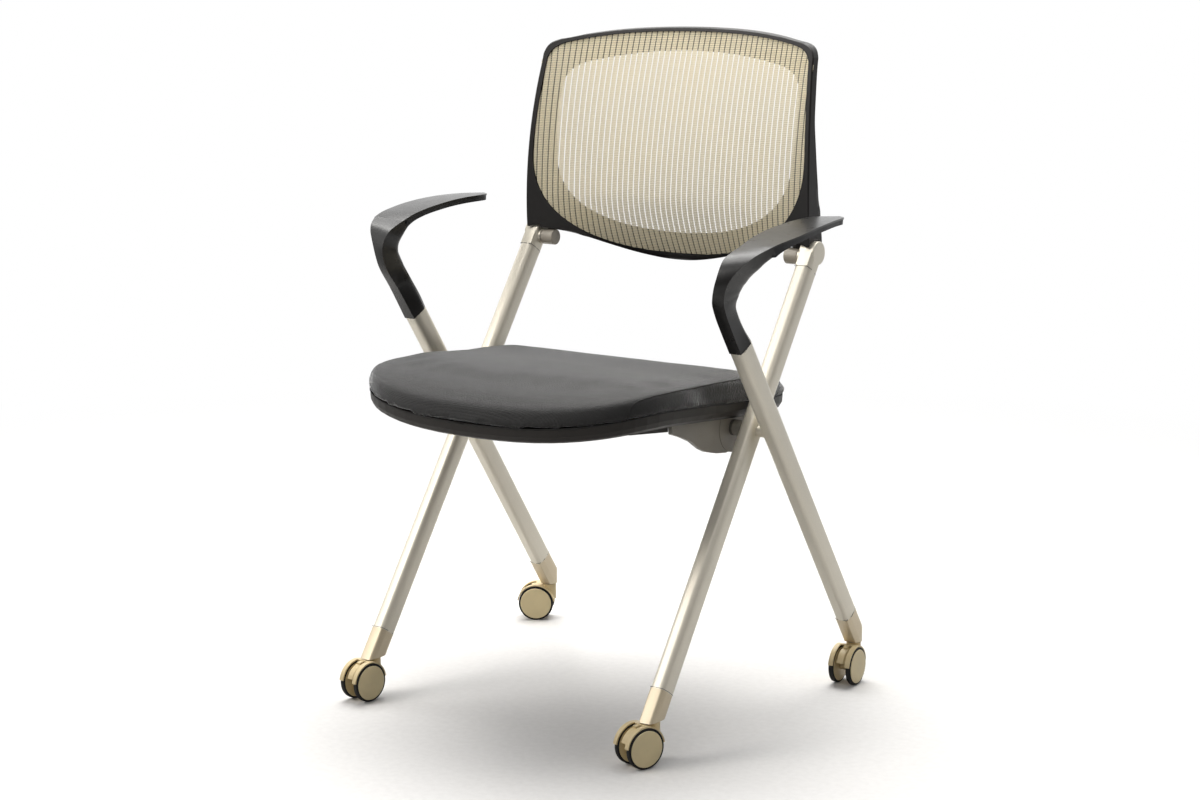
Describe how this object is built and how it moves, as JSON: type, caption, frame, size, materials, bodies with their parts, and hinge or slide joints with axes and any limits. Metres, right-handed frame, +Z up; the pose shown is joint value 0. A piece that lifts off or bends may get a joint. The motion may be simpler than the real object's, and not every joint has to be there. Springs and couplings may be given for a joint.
{
  "type": "nesting chair",
  "caption": "Nesting chair with a flip-up upholstered seat, a sprung striped mesh back, crossed tube legs, moulded armrests and twin-wheel casters.",
  "frame": {"origin": "on the floor, under the middle of the outer box", "axes": "front faces -Y, +X is to the right seen from in front, +Z is up"},
  "size_m": [0.627, 0.5206, 0.856],
  "materials": {
    "frame_paint": "satin",
    "cast_paint": "satin",
    "arm_plastic": "satin",
    "arm_under_plastic": "matte",
    "shell_plastic": "matte",
    "back_plastic": "matte",
    "cushion_fabric": "matte",
    "mesh_fabric": "matte",
    "plywood": "matte",
    "cast_grey": "satin",
    "barrel_grey": "satin",
    "bush_plastic": "matte",
    "sleeve_rubber": "matte",
    "wheel_plastic": "satin",
    "caster_plastic": "satin",
    "tyre_black": "matte",
    "steel": "satin"
  },
  "bodies": {
    "frame": {"leg_front_left": "frame_paint", "leg_front_right": "frame_paint", "leg_rear_left": "frame_paint", "leg_rear_right": "frame_paint", "foot_front_left": "cast_paint", "foot_front_right": "cast_paint", "foot_rear_left": "cast_paint", "foot_rear_right": "cast_paint", "cross_tube": "frame_paint", "leg_spacers": "frame_paint", "back_cap_left": "cast_paint", "back_cap_right": "cast_paint", "back_pivot_pins": "steel", "armrest_left": "arm_plastic", "armrest_right": "arm_plastic", "arm_under_left": "arm_under_plastic", "arm_under_right": "arm_under_plastic", "arm_spigots": "steel", "arm_screws": "steel", "caster_stems": "steel", "seat_stop_pins": "steel"},
    "seat": {"seat_cushion": "cushion_fabric", "seat_board": "plywood", "seat_shell": "shell_plastic", "seat_bracket_left": "cast_grey", "seat_bracket_right": "cast_grey", "seat_pivot_bushes": "bush_plastic", "seat_screws": "steel"},
    "back": {"back_frame": "back_plastic", "back_mesh": "mesh_fabric", "back_bracket_left": "barrel_grey", "back_bracket_right": "barrel_grey", "back_torsion_sleeves": "sleeve_rubber", "back_bushes": "bush_plastic", "back_screws": "steel"},
    "caster_front_left": {"caster_front_left_body": "caster_plastic", "caster_front_left_axle": "steel"},
    "wheel_front_left_a": {"wheel_front_left_a": "wheel_plastic", "tyre_front_left_a": "tyre_black"},
    "wheel_front_left_b": {"wheel_front_left_b": "wheel_plastic", "tyre_front_left_b": "tyre_black"},
    "caster_front_right": {"caster_front_right_body": "caster_plastic", "caster_front_right_axle": "steel"},
    "wheel_front_right_a": {"wheel_front_right_a": "wheel_plastic", "tyre_front_right_a": "tyre_black"},
    "wheel_front_right_b": {"wheel_front_right_b": "wheel_plastic", "tyre_front_right_b": "tyre_black"},
    "caster_rear_left": {"caster_rear_left_body": "caster_plastic", "caster_rear_left_axle": "steel"},
    "wheel_rear_left_a": {"wheel_rear_left_a": "wheel_plastic", "tyre_rear_left_a": "tyre_black"},
    "wheel_rear_left_b": {"wheel_rear_left_b": "wheel_plastic", "tyre_rear_left_b": "tyre_black"},
    "caster_rear_right": {"caster_rear_right_body": "caster_plastic", "caster_rear_right_axle": "steel"},
    "wheel_rear_right_a": {"wheel_rear_right_a": "wheel_plastic", "tyre_rear_right_a": "tyre_black"},
    "wheel_rear_right_b": {"wheel_rear_right_b": "wheel_plastic", "tyre_rear_right_b": "tyre_black"}
  },
  "joints": [
    {"name": "seat_flip", "type": "hinge", "parent": "frame", "child": "seat", "pos_m": [0, 0.0334, 0.369], "axis": [-1, 0, 0], "range_deg": [0, 78]},
    {"name": "back_tilt", "type": "hinge", "parent": "frame", "child": "back", "pos_m": [0, 0.1704, 0.57], "axis": [-1, 0, 0], "range_deg": [0, 10], "stiffness_Nm_per_rad": 32, "springref_deg": -6.88},
    {"name": "swivel_front_left", "type": "hinge", "parent": "frame", "child": "caster_front_left", "pos_m": [-0.219, -0.1821, 0.05], "axis": [0, 0, 1], "continuous": true},
    {"name": "spin_front_left_a", "type": "hinge", "parent": "caster_front_left", "child": "wheel_front_left_a", "pos_m": [-0.22099, -0.201, 0.025], "axis": [0.9945, -0.1045, 0], "continuous": true},
    {"name": "spin_front_left_b", "type": "hinge", "parent": "caster_front_left", "child": "wheel_front_left_b", "pos_m": [-0.22099, -0.201, 0.025], "axis": [0.9945, -0.1045, 0], "continuous": true},
    {"name": "swivel_front_right", "type": "hinge", "parent": "frame", "child": "caster_front_right", "pos_m": [0.219, -0.1821, 0.05], "axis": [0, 0, 1], "continuous": true},
    {"name": "spin_front_right_a", "type": "hinge", "parent": "caster_front_right", "child": "wheel_front_right_a", "pos_m": [0.2125, -0.19995, 0.025], "axis": [0.9397, -0.342, 0], "continuous": true},
    {"name": "spin_front_right_b", "type": "hinge", "parent": "caster_front_right", "child": "wheel_front_right_b", "pos_m": [0.2125, -0.19995, 0.025], "axis": [0.9397, -0.342, 0], "continuous": true},
    {"name": "swivel_rear_left", "type": "hinge", "parent": "frame", "child": "caster_rear_left", "pos_m": [-0.2527, 0.2434, 0.05], "axis": [0, 0, 1], "continuous": true},
    {"name": "spin_rear_left_a", "type": "hinge", "parent": "caster_rear_left", "child": "wheel_rear_left_a", "pos_m": [-0.26899, 0.23361, 0.025], "axis": [0.515, -0.8572, 0], "continuous": true},
    {"name": "spin_rear_left_b", "type": "hinge", "parent": "caster_rear_left", "child": "wheel_rear_left_b", "pos_m": [-0.26899, 0.23361, 0.025], "axis": [0.515, -0.8572, 0], "continuous": true},
    {"name": "swivel_rear_right", "type": "hinge", "parent": "frame", "child": "caster_rear_right", "pos_m": [0.2527, 0.2434, 0.05], "axis": [0, 0, 1], "continuous": true},
    {"name": "spin_rear_right_a", "type": "hinge", "parent": "caster_rear_right", "child": "wheel_rear_right_a", "pos_m": [0.25403, 0.22445, 0.025], "axis": [0.9976, 0.0698, 0], "continuous": true},
    {"name": "spin_rear_right_b", "type": "hinge", "parent": "caster_rear_right", "child": "wheel_rear_right_b", "pos_m": [0.25403, 0.22445, 0.025], "axis": [0.9976, 0.0698, 0], "continuous": true}
  ]
}
